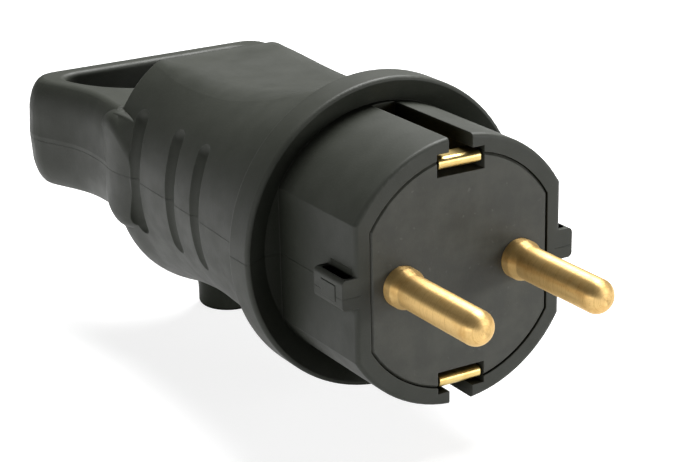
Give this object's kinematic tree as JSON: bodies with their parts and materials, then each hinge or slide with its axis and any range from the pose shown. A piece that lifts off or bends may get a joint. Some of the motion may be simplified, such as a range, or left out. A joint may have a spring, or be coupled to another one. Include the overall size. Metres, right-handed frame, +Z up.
{
  "type": "angled plug",
  "caption": "Earthed mains plug in black rubber with round pins, a loop handle at the back and a cable outlet that leaves at a right angle to the pins.",
  "frame": {"origin": "centre of the plug's face, midway between the pins", "axes": "pins towards -Y, handle towards +Y, +Z up with the cable outlet towards -Z, +X along the line of the pins"},
  "size_m": [0.0472, 0.1165, 0.0495],
  "materials": {
    "rubber": "matte moulded",
    "insert_plastic": "matte moulded",
    "pin_brass": "turned",
    "strap_brass": "rolled strip",
    "screw_steel": "zinc plated"
  },
  "bodies": {
    "root": {"rubber_housing": "rubber", "contact_carrier": "insert_plastic", "pin_left": "pin_brass", "pin_right": "pin_brass", "terminal_screw_left": "screw_steel", "terminal_screw_right": "screw_steel", "earth_strap": "strap_brass", "earth_washer": "screw_steel", "earth_screw": "screw_steel", "pin_retainer": "insert_plastic", "retainer_screw_upper": "screw_steel", "retainer_screw_lower": "screw_steel", "cord_clamp_bar": "insert_plastic", "cord_clamp_screw_left": "screw_steel", "cord_clamp_screw_right": "screw_steel"}
  },
  "joints": []
}
